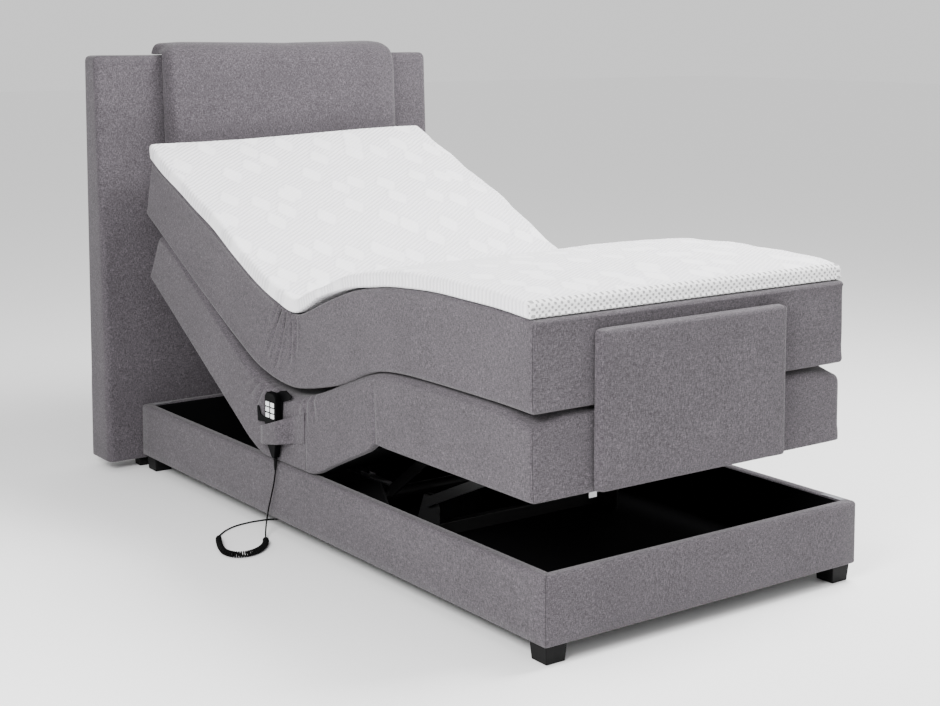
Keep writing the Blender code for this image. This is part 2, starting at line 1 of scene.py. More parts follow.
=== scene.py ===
"""Looks of the adjustable box-spring bed: soft covers, knit topper, handset cord, materials and studio.

Lengths are metres in the row's frame. Soft pieces are blocks of cloth lofted between two lines, a low and
a high one, that follow the raised sections. Each is softened by a cloth simulation; the mattress, topper
and box covers are then cut into stretches along their length.
"""

import json
import math

import bmesh
import bpy
import numpy as np
from mathutils import Matrix, Vector


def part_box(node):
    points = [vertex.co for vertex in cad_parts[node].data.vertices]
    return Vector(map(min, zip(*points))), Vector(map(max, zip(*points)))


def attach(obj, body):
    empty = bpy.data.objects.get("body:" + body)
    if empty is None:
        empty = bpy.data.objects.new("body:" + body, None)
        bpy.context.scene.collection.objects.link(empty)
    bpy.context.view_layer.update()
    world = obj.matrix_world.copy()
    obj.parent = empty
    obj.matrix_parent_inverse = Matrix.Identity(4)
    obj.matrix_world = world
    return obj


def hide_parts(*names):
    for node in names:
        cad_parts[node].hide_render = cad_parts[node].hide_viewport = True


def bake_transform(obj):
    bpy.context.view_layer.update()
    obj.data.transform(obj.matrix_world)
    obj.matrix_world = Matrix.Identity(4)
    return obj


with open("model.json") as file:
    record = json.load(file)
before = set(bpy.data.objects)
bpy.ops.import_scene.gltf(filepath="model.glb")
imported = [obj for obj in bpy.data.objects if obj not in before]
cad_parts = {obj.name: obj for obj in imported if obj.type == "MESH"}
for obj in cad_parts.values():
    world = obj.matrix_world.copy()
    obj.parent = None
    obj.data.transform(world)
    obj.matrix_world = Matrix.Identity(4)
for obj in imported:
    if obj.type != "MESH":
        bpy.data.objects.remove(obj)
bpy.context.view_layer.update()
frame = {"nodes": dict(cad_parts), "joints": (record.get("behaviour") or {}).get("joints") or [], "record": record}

JOINTS = {joint["name"]: joint for joint in frame["joints"]}
FOOT_LOW, FOOT_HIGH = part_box("foot_rail")
MID_X = (FOOT_LOW[0] + FOOT_HIGH[0]) / 2
FOOT_Y = FOOT_LOW[1]
RAIL_TOP = FOOT_HIGH[2]
RAIL_LOW = FOOT_LOW[2]
RAIL_THICK = FOOT_HIGH[1] - FOOT_LOW[1]
FRAME_HALF = (FOOT_HIGH[0] - FOOT_LOW[0]) / 2
FRAME_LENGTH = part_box("head_rail")[1][1] - FOOT_Y


def place(x, y, z):
    """A point from the bed's own x and y, counted from the middle of the frame's foot end."""
    return Vector((MID_X + x, FOOT_Y + y, z))


class Section:
    """A box section's side view: distances along it from its hinge, and above its middle plane."""

    def __init__(self, joint, along):
        self.origin = Vector((JOINTS[joint]["pos_m"][1] - FOOT_Y, JOINTS[joint]["pos_m"][2]))
        self.along = Vector(along).normalized()
        side = 1 if self.along.x > 0 else -1
        self.up = Vector((-self.along.y * side, self.along.x * side))

    def at(self, along, above):
        point = self.origin + self.along * along + self.up * above
        return point.x, point.y

    def mark(self, along):
        y, z = self.at(along, 0.0)
        return place(0.0, y, z)


KNEE = JOINTS["knee_hinge"]["pos_m"]
THIGH_HINGE = JOINTS["thigh_hinge"]["pos_m"]
SLOPE = JOINTS["back_mattress_slide"]["axis"]
BACK = Section("back_hinge", (SLOPE[1], SLOPE[2]))
THIGH = Section("thigh_hinge", (KNEE[1] - THIGH_HINGE[1], KNEE[2] - THIGH_HINGE[2]))
B, T = BACK.at, THIGH.at

# -------------------------------- camera, floor and lights

CAMERA_AT = (-2.6898, -2.7334, 1.3946)
CAMERA_TURN = math.radians(-36.0)
CAMERA_DIP = math.radians(5.374)
CAMERA_ROLL = 0.0011
CAMERA_LENS = 63.632  # for a sensor 36 mm wide
CAMERA_SHIFT = (0.0001, -0.1822)


def make_camera():
    data = bpy.data.cameras.new("camera")
    data.sensor_width = 36.0
    data.lens = CAMERA_LENS
    data.shift_x, data.shift_y = CAMERA_SHIFT
    ahead = Vector((-math.sin(CAMERA_TURN) * math.cos(CAMERA_DIP),
                    math.cos(CAMERA_TURN) * math.cos(CAMERA_DIP), -math.sin(CAMERA_DIP)))
    right = ahead.cross(Vector((0, 0, 1))).normalized()
    up = right.cross(ahead)
    right, up = (math.cos(CAMERA_ROLL) * right + math.sin(CAMERA_ROLL) * up,
                 math.cos(CAMERA_ROLL) * up - math.sin(CAMERA_ROLL) * right)
    camera = bpy.data.objects.new("camera", data)
    camera.matrix_world = Matrix.Translation(place(*CAMERA_AT)) @ Matrix(
        (right, up, -ahead)).transposed().to_4x4()
    bpy.context.collection.objects.link(camera)
    bpy.context.scene.camera = camera


def area_light(name, location, target, size, power):
    data = bpy.data.lights.new(name, "AREA")
    data.shape = "RECTANGLE"
    data.size, data.size_y = size
    data.energy = power
    light = bpy.data.objects.new(name, data)
    light.location = place(*location)
    way = place(*target) - light.location
    light.rotation_euler = way.to_track_quat("-Z", "Y").to_euler()
    bpy.context.collection.objects.link(light)


def make_studio():
    world = bpy.data.worlds.new("studio")
    world.use_nodes = True
    background = world.node_tree.nodes["Background"]
    background.inputs["Color"].default_value = (1.0, 1.0, 1.0, 1.0)
    background.inputs["Strength"].default_value = 1.0
    bpy.context.scene.world = world
    area_light("key", (-2.9, -0.9, 2.3), (0.0, 0.6, 0.4), (1.4, 1.2), 190.0)
    area_light("fill", (2.2, -3.6, 2.2), (0.0, 0.6, 0.6), (2.0, 2.0), 25.0)
    area_light("top", (1.5, 0.2, 3.3), (0.0, 0.9, 0.5), (1.6, 1.6), 260.0)
    mesh = bpy.data.meshes.new("floor")
    reach = 30.0
    mesh.from_pydata([(-reach, -reach, 0), (reach, -reach, 0), (reach, reach, 0), (-reach, reach, 0)],
                     [], [(0, 1, 2, 3)])
    mesh.materials.append(plain_material("floor_paint", (0.96, 0.96, 0.96), 0.9))
    floor = bpy.data.objects.new("floor", mesh)
    floor.location.z = -0.0005
    bpy.context.collection.objects.link(floor)


# -------------------------------- materials


class Nodes:
    """Short ways to add and link nodes in a material."""

    def __init__(self, name, roughness, metallic=0.0):
        self.material = bpy.data.materials.new(name)
        self.material.use_nodes = True
        self.tree = self.material.node_tree
        self.shader = self.tree.nodes["Principled BSDF"]
        self.shader.inputs["Roughness"].default_value = roughness
        self.shader.inputs["Metallic"].default_value = metallic

    def add(self, kind, inputs=None, **settings):
        node = self.tree.nodes.new(kind)
        for key, value in settings.items():
            setattr(node, key, value)
        for key, value in (inputs or {}).items():
            self.feed(node.inputs[key], value)
        return node

    def feed(self, socket, value):
        if isinstance(value, bpy.types.NodeSocket):
            self.tree.links.new(value, socket)
        else:
            socket.default_value = value

    def set(self, **inputs):
        for key, value in inputs.items():
            self.feed(self.shader.inputs[key.replace("_", " ").title().replace("Ior", "IOR")], value)

    def coordinates(self, scale=(1.0, 1.0, 1.0), attribute=None, turn=(0.0, 0.0, 0.0)):
        if attribute:
            source = self.add("ShaderNodeAttribute", attribute_name=attribute).outputs["Vector"]
        else:
            source = self.add("ShaderNodeTexCoord").outputs["Object"]
        return self.add("ShaderNodeMapping", {"Vector": source, "Scale": scale, "Rotation": turn}
                        ).outputs["Vector"]

    def noise(self, vector, scale=1.0, detail=2.0, roughness=0.6):
        return self.add("ShaderNodeTexNoise", {"Vector": vector, "Scale": scale, "Detail": detail,
                                               "Roughness": roughness}).outputs["Fac"]

    def math(self, operation, a, b=0.0, c=0.0, clamp=False):
        return self.add("ShaderNodeMath", {0: a, 1: b, 2: c}, operation=operation,
                        use_clamp=clamp).outputs[0]

    def times(self, a, b, plus=0.0, clamp=False):
        """a times b, with a third value added."""
        return self.math("MULTIPLY_ADD", a, b, plus, clamp)

    def ramp(self, factor, *stops):
        node = self.add("ShaderNodeValToRGB", {"Fac": factor})
        points = node.color_ramp.elements
        while len(points) < len(stops):
            points.new(0.5)
        for point, (position, colour) in zip(points, stops):
            point.position = position
            point.color = (*colour, 1.0)
        return node.outputs["Color"]

    def seam(self, width=0.0013):
        """1 on a seam line, 0 away from it; painted shade lines count as seams."""
        value = self.add("ShaderNodeAttribute", attribute_name="seam").outputs["Fac"]
        away = self.math("ABSOLUTE", self.math("SUBTRACT", value, SEAM_BASE))
        return self.math("SUBTRACT", 1.0, self.math("DIVIDE", away, width, clamp=True))

    def mix(self, factor, a, b):
        node = self.add("ShaderNodeMix", data_type="RGBA")
        self.feed(node.inputs[0], factor)
        self.feed(node.inputs[6], a)
        self.feed(node.inputs[7], b)
        return node.outputs[2]

    def bump(self, height, distance, strength=1.0, after=None):
        inputs = {"Height": height, "Distance": distance, "Strength": strength}
        if after:
            inputs["Normal"] = after
        return self.add("ShaderNodeBump", inputs).outputs["Normal"]


def plain_material(name, colour, roughness):
    made = Nodes(name, roughness)
    made.set(base_color=(*colour, 1.0))
    return made.material


SEAM_BASE = 10.0  # so that a mesh without the attribute, which reads as 0, has no seam
YARN_LEVEL = 0.31  # how light the upholstery's yarns are
YARN_TINT = (1.045, 0.93, 1.05)


def yarn(shade):
    return tuple(shade * YARN_LEVEL * part for part in YARN_TINT)


def upholstery():
    """Flat-weave upholstery: mixed light and dark yarns, upright and level slubs, and a nap."""
    made = Nodes("melange_weave", 0.95)
    upright = made.noise(made.coordinates((540.0, 540.0, 130.0)), detail=3.0, roughness=0.6)
    level_yarn = made.noise(made.coordinates((120.0, 120.0, 560.0)), detail=3.0, roughness=0.6)
    fleck = made.noise(made.coordinates(), 900.0, 2.0, 0.7)
    mixed = made.times(upright, 0.46, made.times(level_yarn, 0.34, made.times(fleck, 0.20)))
    cloudy = made.noise(made.coordinates(), 7.0, 2.0, 0.5)
    shade = made.math("ADD", mixed, made.times(cloudy, 0.05, -0.025))
    colour = made.ramp(shade, (0.37, yarn(0.07)), (0.455, yarn(0.155)), (0.535, yarn(0.225)),
                       (0.63, yarn(0.44)))
    seam = made.seam()
    relief = made.bump(mixed, 0.0014, 0.6)
    # painted shade: the seam mask darkens the weave on seams and, on the mattress, deep in the first creases
    made.set(base_color=made.mix(made.times(seam, 0.75), colour, (*yarn(0.03), 1.0)),
             sheen_weight=0.15, sheen_roughness=0.5, specular_ior_level=0.12,
             roughness=made.times(mixed, -0.12, 0.98),
             normal=made.bump(made.times(seam, -1.0), 0.0015, 1.0, relief))
    return made.material


def topper_knit():
    """White stretch knit: fine slanting ribs, with smooth raised leaves scattered between them."""
    made = Nodes("topper_knit", 0.85)
    slant = math.radians(-58)
    ribs = made.add("ShaderNodeTexWave", {"Vector": made.coordinates((1.0, 1.0, 0.0), "rest",
                    (0.0, 0.0, slant)), "Scale": 26.0, "Distortion": 1.2, "Detail": 1.0,
                    "Detail Scale": 1.5}, bands_direction="X").outputs["Fac"]
    leaf = made.add("ShaderNodeTexVoronoi", {"Vector": made.coordinates((1.25, 0.8, 0.0), "rest"),
                    "Scale": 8.5, "Exponent": 1.15, "Randomness": 0.9}, distance="MINKOWSKI",
                    voronoi_dimensions="2D").outputs["Distance"]
    leaves = made.math("SUBTRACT", 1.0, made.times(leaf, 8.0, -2.4, clamp=True))
    rim_shade = made.times(leaves, made.math("SUBTRACT", 1.0, leaves))
    grain = made.noise(made.coordinates(), 800.0, 2.0, 0.6)
    quilt = made.noise(made.coordinates((1.0, 1.0, 0.0), "rest"), 12.0, 2.0, 0.5)
    ribbed = made.times(ribs, made.times(leaves, -0.7, 1.0))
    height = made.times(grain, 0.3, made.times(leaves, 0.9, ribbed))
    # painted shade: the hollows between the ribs and the rims round the leaves are coloured darker
    hollow = made.math("SUBTRACT", made.math("SUBTRACT", 1.0, leaves), ribbed)
    shade = made.times(hollow, 0.34, made.times(rim_shade, 0.9, made.times(quilt, 0.25)))
    seam = made.seam()
    colour = made.ramp(shade, (0.1, (0.89, 0.88, 0.90)), (0.8, (0.62, 0.61, 0.64)))
    relief = made.bump(quilt, 0.008, 0.5, made.bump(height, 0.0022, 0.8))
    made.set(base_color=made.mix(made.times(seam, 0.6), colour, (0.35, 0.34, 0.36, 1.0)),
             sheen_weight=0.1, specular_ior_level=0.2, normal=relief)
    return made.material


def topper_mesh():
    """Spacer mesh of the topper's end borders: staggered rows of small hollows, with painted shade, in a white
    knit.
    """
    made = Nodes("topper_mesh", 0.8)
    across_pitch, row_pitch = 0.0185, 0.0078
    axes = made.add("ShaderNodeSeparateXYZ", {"Vector": made.add(
        "ShaderNodeAttribute", attribute_name="rest").outputs["Vector"]})
    across = made.math("COSINE", made.times(axes.outputs["X"], 2 * math.pi / across_pitch))
    upward = made.math("COSINE", made.times(axes.outputs["Z"], math.pi / row_pitch))
    hollow = made.times(made.times(across, upward), 1.5, -0.12, clamp=True)
    grain = made.noise(made.coordinates(), 900.0, 2.0, 0.6)
    relief = made.times(hollow, -1.0, made.times(grain, 0.2))
    seam = made.seam()
    # painted shade: the hollows are coloured dark grey
    colour = made.ramp(hollow, (0.1, (0.84, 0.835, 0.84)), (0.9, (0.33, 0.325, 0.33)))
    made.set(base_color=made.mix(made.times(seam, 0.6), colour, (0.3, 0.3, 0.31, 1.0)),
             specular_ior_level=0.2, normal=made.bump(relief, 0.003, 0.9))
    return made.material


def dust_cloth():
    """Black non-woven cloth under and inside the bed: pressed dots and fine fibres."""
    made = Nodes("dust_cloth", 0.9)
    dots = made.add("ShaderNodeTexVoronoi", {"Vector": made.coordinates(), "Scale": 420.0,
                    "Randomness": 0.1}).outputs["Distance"]
    fibres = made.noise(made.coordinates((300.0, 900.0, 900.0)), 1.0, 3.0, 0.7)
    made.set(base_color=made.ramp(fibres, (0.35, (0.0008, 0.0008, 0.001)), (0.7, (0.0035, 0.0035, 0.004))),
             specular_ior_level=0.05, normal=made.bump(made.math("ADD", dots, fibres), 0.0006, 0.4))
    return made.material


def moulded(name, colour, roughness, grain=1400.0, depth=0.00025):
    """Moulded plastic or rubber with a fine spark-eroded grain and faint wear."""
    made = Nodes(name, roughness)
    skin = made.noise(made.coordinates(), grain, 2.0, 0.6)
    wear = made.noise(made.coordinates(), 35.0, 3.0, 0.6)
    worn = tuple(min(1.0, c * 1.4 + 0.0015) for c in colour)
    made.set(base_color=made.ramp(wear, (0.4, colour), (0.8, worn)), specular_ior_level=0.03,
             roughness=made.times(wear, 0.2, roughness - 0.1),
             normal=made.bump(skin, depth, 0.5))
    return made.material


def lacquered_wood():
    """Black satin lacquer over close-grained wood."""
    made = Nodes("lacquered_wood", 0.4)
    grain = made.noise(made.coordinates((260.0, 260.0, 22.0)), 1.0, 4.0, 0.6)
    made.set(base_color=made.ramp(grain, (0.3, (0.002, 0.002, 0.0022)), (0.75, (0.006, 0.0058, 0.0058))),
             roughness=made.times(grain, 0.25, 0.38), specular_ior_level=0.09,
             normal=made.bump(grain, 0.0004, 0.35))
    return made.material


def metal(name, colour, roughness, metallic, stretch, depth):
    """Drawn or powder-coated metal: a grain stretched along x, or even all ways."""
    made = Nodes(name, roughness, metallic)
    grain = made.noise(made.coordinates(stretch), 1.0, 3.0, 0.65)
    darker = tuple(c * 0.75 for c in colour)
    made.set(base_color=made.ramp(grain, (0.3, darker), (0.7, colour)),
             roughness=made.times(grain, 0.25, roughness - 0.12),
             normal=made.bump(grain, depth, 0.4))
    return made.material


def make_materials():
    return {
        "weave": upholstery(),
        "knit": topper_knit(),
        "mesh": topper_mesh(),
        "dust": dust_cloth(),
        "wood": lacquered_wood(),
        "plastic": moulded("black_plastic", (0.002, 0.002, 0.0023), 0.5),
        "handset": moulded("handset_plastic", (0.0012, 0.0012, 0.0014), 0.45),
        "key": moulded("key_plastic", (0.78, 0.79, 0.8), 0.35, 900.0, 0.0001),
        "rubber": moulded("cable_rubber", (0.003, 0.003, 0.003), 0.5, 2200.0, 0.0002),
        "powder": metal("powder_coat", (0.006, 0.006, 0.0065), 0.5, 0.0, (1500.0, 1500.0, 1500.0), 0.0003),
        "steel": metal("drawn_steel", (0.42, 0.42, 0.43), 0.42, 1.0, (60.0, 1800.0, 1800.0), 0.0002),
        "strip": moulded("hook_tape", (0.16, 0.16, 0.17), 0.8, 700.0, 0.0008),
    }


# -------------------------------- mesh tools


def add_piece(name, mesh, *materials):
    for material in materials:
        mesh.materials.append(material)
    piece = bpy.data.objects.new(name, mesh)
    bpy.context.collection.objects.link(piece)
    return piece


def finish_bmesh(name, bm, *materials, sharp):
    bmesh.ops.recalc_face_normals(bm, faces=bm.faces)
    mesh = bpy.data.meshes.new(name)
    bm.to_mesh(mesh)
    bm.free()
    mesh.shade_smooth()
    mesh.set_sharp_from_angle(angle=math.radians(sharp))
    return add_piece(name, mesh, *materials)


def edge_cuts(length, low_radius, high_radius, step, dense=()):
    """Places along one side of a block: close together over its two ends and in the dense stretches.

    Each dense stretch is its middle, its reach to both sides and its step.
    """
    turns = [math.tan(math.radians(a)) for a in (45, 31, 16)]
    low = [low_radius * (1 - t) for t in turns]
    high = [length - high_radius * (1 - t) for t in reversed(turns)]
    middle, last = [low_radius], length - high_radius
    while middle[-1] < last - step * 0.6:
        steps = [step] + [fine for spot, reach, fine in dense if abs(middle[-1] - spot) < reach]
        middle.append(middle[-1] + min(steps))
    middle[-1] = last
    return low + middle + high


class Ribs:
    """A smooth run of side-view lines, each from a low to a high point, with lengths along it."""

    def __init__(self, ribs):
        self.points = np.array([[*low, *high] for low, high in ribs], float)
        middle = (self.points[:, :2] + self.points[:, 2:]) / 2
        steps = np.linalg.norm(np.diff(middle, axis=0), axis=1)
        self.along = np.concatenate([[0.0], np.cumsum(steps)])
        self.length = self.along[-1]
        ahead, behind = np.roll(self.points, -1, 0), np.roll(self.points, 1, 0)
        self.slopes = (ahead - behind) / (np.roll(self.along, -1) - np.roll(self.along, 1))[:, None]
        for end, near in ((0, 1), (-1, -2)):
            step = self.along[near] - self.along[end]
            self.slopes[end] = (self.points[near] - self.points[end]) / step

    def at(self, v):
        """Low and high points for an array of lengths."""
        v = np.asarray(v, float)
        i = np.clip(np.searchsorted(self.along, v) - 1, 0, len(self.along) - 2)
        gap = (self.along[i + 1] - self.along[i])
        t = ((v - self.along[i]) / gap)[:, None]
        gap = gap[:, None]
        a, b, sa, sb = self.points[i], self.points[i + 1], self.slopes[i], self.slopes[i + 1]
        made = (a * (2 * t**3 - 3 * t**2 + 1) + sa * gap * (t**3 - 2 * t**2 + t)
                + b * (3 * t**2 - 2 * t**3) + sb * gap * (t**3 - t**2))
        return made[:, :2], made[:, 2:]

    def length_at(self, number):
        """How far along the rib with this number is; halves fall between two ribs."""
        return float(np.interp(number, range(len(self.along)), self.along))


def soft_block(name, ribs, half, thick, radii, step, middle_x=0.0, shape=None, dense=()):
    """A closed block of cloth between two lines, with rounded edges, and its own "rest" places.

    radii are those of the sides, the first and last ends, and the low and high faces. shape, given
    the rest places, returns how far each point moves across, along and up.
    """
    side, first, last, under, over = radii
    lengths = (2 * half, ribs.length, thick)
    cuts = (edge_cuts(lengths[0], side, side, step[0]),
            edge_cuts(lengths[1], first, last, step[1], dense),
            edge_cuts(lengths[2], under, over, step[2]))
    counts = [len(c) for c in cuts]
    index, places = {}, []

    def corner(key):
        if key not in index:
            index[key] = len(places)
            places.append([cuts[a][key[a]] for a in range(3)])
        return index[key]

    faces = []
    for axis in range(3):
        u, v = [a for a in range(3) if a != axis]
        for end in (0, counts[axis] - 1):
            for i in range(counts[u] - 1):
                for j in range(counts[v] - 1):
                    keys = []
                    for du, dv in ((0, 0), (1, 0), (1, 1), (0, 1)):
                        key = [0, 0, 0]
                        key[axis], key[u], key[v] = end, i + du, j + dv
                        keys.append(corner(tuple(key)))
                    faces.append(keys)
    p = np.array(places)
    inner_low = np.array([side, first, under])
    inner_high = np.array([lengths[0] - side, lengths[1] - last, lengths[2] - over])
    inner = np.clip(p, inner_low, inner_high)
    radius = np.where(p > inner_high, [side, last, over], [side, first, under])
    out = (p - inner) / radius
    reach = np.linalg.norm(out, axis=1)
    out[reach > 0] /= reach[reach > 0, None]
    p = inner + out * radius
    rest = np.column_stack([p[:, 0] - half, p[:, 1], p[:, 2]])
    moved = rest + (shape(rest) if shape else 0.0)
    low, high = ribs.at(moved[:, 1])
    yz = low + (high - low) * (moved[:, 2] / thick)[:, None]
    co = np.column_stack([moved[:, 0] + MID_X + middle_x, yz[:, 0] + FOOT_Y, yz[:, 1]])
    mesh = bpy.data.meshes.new(name)
    mesh.from_pydata(co.tolist(), [], faces)
    attribute = mesh.attributes.new("rest", "FLOAT_VECTOR", "POINT")
    attribute.data.foreach_set("vector", rest.astype(np.float32).ravel())
    bm = bmesh.new()
    bm.from_mesh(mesh)
    bmesh.ops.recalc_face_normals(bm, faces=bm.faces)
    bm.to_mesh(mesh)
    bm.free()
    mesh.shade_smooth()
    return add_piece(name, mesh)


def vectors(rows, key):
    made = np.empty(len(rows) * 3, np.float32)
    rows.foreach_get(key, made)
    return made.reshape(-1, 3).astype(float)


def coordinates(mesh):
    return vectors(mesh.vertices, "co")


def rest_places(mesh):
    return vectors(mesh.attributes["rest"].data, "vector")


def set_coordinates(mesh, co):
    mesh.vertices.foreach_set("co", co.astype(np.float32).ravel())
    mesh.update()


PUFF_FRAMES = 16


def puff(piece, cap, pressure=4.0, held=None):
    """Fills the closed cloth with air, then keeps the result up to a cap. held gives 0 to 1 freedoms."""
    scene = bpy.context.scene
    start = coordinates(piece.data)
    cloth = piece.modifiers.new("cloth", "CLOTH")
    settings = cloth.settings
    for key, value in (("quality", 4), ("mass", 0.25), ("tension_stiffness", 12.0),
                       ("compression_stiffness", 12.0), ("bending_stiffness", 0.8),
                       ("use_pressure", True), ("uniform_pressure_force", pressure)):
        setattr(settings, key, value)
    settings.effector_weights.gravity = 0.0
    cloth.collision_settings.use_collision = False
    cloth.point_cache.frame_start = 1
    cloth.point_cache.frame_end = PUFF_FRAMES
    for number in range(PUFF_FRAMES):
        scene.frame_set(number + 1)
    shaped = piece.evaluated_get(bpy.context.evaluated_depsgraph_get()).to_mesh()
    end = coordinates(shaped)
    piece.to_mesh_clear()
    piece.modifiers.remove(cloth)
    scene.frame_set(1)
    move = end - start
    move -= move.mean(axis=0)
    size = np.linalg.norm(move, axis=1)
    move *= (np.minimum(size, cap) / np.maximum(size, 1e-9))[:, None]
    if held is not None:
        move *= held(rest_places(piece.data))[:, None]
    set_coordinates(piece.data, start + move)


def subdivide(piece):
    modifier = piece.modifiers.new("finer", "SUBSURF")
    modifier.levels = modifier.render_levels = 1
    graph = bpy.context.evaluated_depsgraph_get()
    mesh = bpy.data.meshes.new_from_object(piece.evaluated_get(graph))
    piece.modifiers.remove(modifier)
    old, piece.data = piece.data, mesh
    mesh.name = piece.name
    bpy.data.meshes.remove(old)


def push(piece, amount):
    """Moves each point along its normal by what amount says for its rest place."""
    mesh = piece.data
    normals = vectors(mesh.vertex_normals, "vector")
    set_coordinates(mesh, coordinates(mesh) + normals * amount(rest_places(mesh))[:, None])


def cut_up(piece, stretches):
    """Splits the block by its length into new pieces and removes it: {name: (from, to)}."""
    made = {}
    for name, (low, high) in stretches.items():
        bm = bmesh.new()
        bm.from_mesh(piece.data)
        layer = bm.verts.layers.float_vector["rest"]
        away = []
        for face in bm.faces:
            v = sum(vert[layer].y for vert in face.verts) / len(face.verts)
            if not low <= v < high:
                away.append(face)
        bmesh.ops.delete(bm, geom=away, context="FACES")
        mesh = bpy.data.meshes.new(name)
        bm.to_mesh(mesh)
        bm.free()
        made[name] = add_piece(name, mesh, *piece.data.materials)
    bpy.data.objects.remove(piece)
    return made


def paint_faces(mesh, choose):
    """Sets each face's material from the mean rest place of its corners."""
    rest = rest_places(mesh)
    for face in mesh.polygons:
        face.material_index = int(choose(rest[list(face.vertices)].mean(axis=0)))


def mark_seams_and_shade(mesh, gaps):
    """Stores each point's signed distance to the nearest seam line, counted from SEAM_BASE; painted shade lines
    count as seams.
    """
    attribute = mesh.attributes.new("seam", "FLOAT", "POINT")
    attribute.data.foreach_set("value", (SEAM_BASE + gaps).astype(np.float32))


def corner_seams(half, length, thick, edge):
    """The four upright corner seams of a block, as signed distances."""
    def distance(rest):
        x, v, h = rest.T
        gap = (half - np.abs(x)) - np.minimum(length - v, v)
        outside = (h < edge) | (h > thick - edge)
        return gap + np.where(outside, np.sign(gap), 0.0)
    return distance


def bell(values, middle, width):
    return np.exp(-(((values - middle) / width) ** 2))


def smooth(share):
    return share * share * (3 - 2 * share)


def moves(across, along, up):
    """One row of movements for each point; any of the three may be a plain number."""
    return np.column_stack(np.broadcast_arrays(across, along, up))


def width_of(node):
    """The middle of a node's width, counted from the frame's middle, and half that width."""
    low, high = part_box(node)
    return (low[0] + high[0]) / 2 - MID_X, (high[0] - low[0]) / 2


def bend_parts(block, ribs, slot, fill, *rows):
    """Cuts a padded block into parts along its length and hides the CAD nodes they stand for.

    A row is a part's name, the rib it ends at, the CAD nodes it stands for, its bodies and its marks.
    """
    ends = [-1.0] + [ribs.length_at(row[1]) for row in rows[:-1]] + [ribs.length + 1.0]
    parts = cut_up(block, {row[0]: span for row, span in zip(rows, zip(ends, ends[1:]))})
    for name, _, nodes, body_a, body_b, start, end in rows:
        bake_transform(parts[name])
        if nodes:
            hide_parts(*nodes)


def dress_pad(piece, material, body, node):
    """The finish and body of an upholstered piece that stands for one CAD node."""
    piece.data.materials.append(material)
    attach(piece, body)
    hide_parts(node)


# -------------------------------- handset cord

CORD = 0.0022
COIL = 0.009
RELIEF_TOP = Vector((-0.50975, 1.166, 0.2208))
RELIEF_TIP = Vector((-0.5095, 1.169, 0.187))
GLAND = (-0.36, 1.262)
CORD_GAP = 0.0005
RELIEF_WAY = (RELIEF_TIP - RELIEF_TOP).normalized()
DROP = [RELIEF_TIP + RELIEF_WAY * CORD_GAP, RELIEF_TIP + RELIEF_WAY * 0.008, (-0.511, 1.176, 0.146),
        (-0.5125, 1.188, 0.11), (-0.515, 1.2, 0.07), (-0.521, 1.2, 0.038), (-0.532, 1.186, 0.017),
        (-0.545, 1.163, 0.0095), (-0.5562, 1.142, 0.0092)]
CURL = [(-0.5565, 1.1414, 0.0092), (-0.571, 1.116, 0.0092), (-0.592, 1.09, 0.0092),
        (-0.622, 1.068, 0.0092), (-0.656, 1.06, 0.0092), (-0.686, 1.073, 0.0092),
        (-0.697, 1.106, 0.0092), (-0.689, 1.146, 0.0092), (-0.672, 1.19, 0.0092),
        (-0.654, 1.228, 0.0092)]
LEAD = [(-0.6538, 1.2285, 0.0092), (-0.644, 1.246, 0.006), (-0.626, 1.269, 0.0026),
        (-0.597, 1.294, 0.0024), (-0.558, 1.314, 0.0024), (-0.512, 1.322, 0.0024),
        (-0.465, 1.318, 0.0024), (-0.424, 1.303, 0.0026), (-0.39, 1.284, 0.007),
        (-0.3685, 1.2675, 0.016), (*GLAND, 0.0275), (*GLAND, 0.0352)]
CURL_PITCH = 0.0066
CURL_STEPS = 14


def smooth_route(points, spacing):
    points = [Vector(p) for p in points]
    ends = [2 * points[0] - points[1]] + points + [2 * points[-1] - points[-2]]
    route = []
    for a, b, c, d in zip(ends, ends[1:], ends[2:], ends[3:]):
        steps = max(1, round((c - b).length / spacing))
        for i in range(steps):
            t = i / steps
            route.append(0.5 * (2 * b + (c - a) * t + (2 * a - 5 * b + 4 * c - d) * t * t
                                + (3 * b - a - 3 * c + d) * t ** 3))
    return route + [points[-1]]


def curled(route):
    """The wire's own line round the curly stretch, its turns opening and closing at the two ends."""
    lengths = [0.0]
    for a, b in zip(route, route[1:]):
        lengths.append(lengths[-1] + (b - a).length)
    total = lengths[-1]
    turns = round(total / CURL_PITCH)
    count = turns * CURL_STEPS
    wide = COIL - CORD - 0.0002
    made, normal, k = [], Vector((0, 0, 1)), 0
    for i in range(count + 1):
        far = total * i / count
        while k < len(lengths) - 2 and lengths[k + 1] < far:
            k += 1
        share = (far - lengths[k]) / (lengths[k + 1] - lengths[k])
        along = (route[k + 1] - route[k]).normalized()
        normal = (normal - along * normal.dot(along)).normalized()
        side = along.cross(normal)
        turn = 2 * math.pi * i / CURL_STEPS
        open_up = min(1.0, i / CURL_STEPS, (count - i) / CURL_STEPS)
        radius = wide * math.sin(open_up * math.pi / 2)
        made.append(route[k].lerp(route[k + 1], share)
                    + radius * (math.cos(turn) * side + math.sin(turn) * normal))
    return made


def make_cord(material):
    route = smooth_route(DROP, 0.006) + curled(smooth_route(CURL, 0.004))[1:-1] + smooth_route(LEAD, 0.006)
    route = [place(*p) for p in route]
    curve = bpy.data.curves.new("handset_cord", "CURVE")
    curve.dimensions = "3D"
    curve.bevel_depth = CORD
    curve.bevel_resolution = 2
    curve.use_fill_caps = True
    spline = curve.splines.new("POLY")
    spline.points.add(len(route) - 1)
    for point, at in zip(spline.points, route):
        point.co = (*at, 1.0)
    spline.use_smooth = True
    curve.materials.append(material)
    cord = bpy.data.objects.new("handset_cord", curve)
    bpy.context.collection.objects.link(cord)
    length = sum((b - a).length for a, b in zip(route, route[1:]))
    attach(cord, "bed_frame")
    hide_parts("handset_cord_drop", "handset_cord_coil", "handset_cord_lead")


# -------------------------------- soft pieces

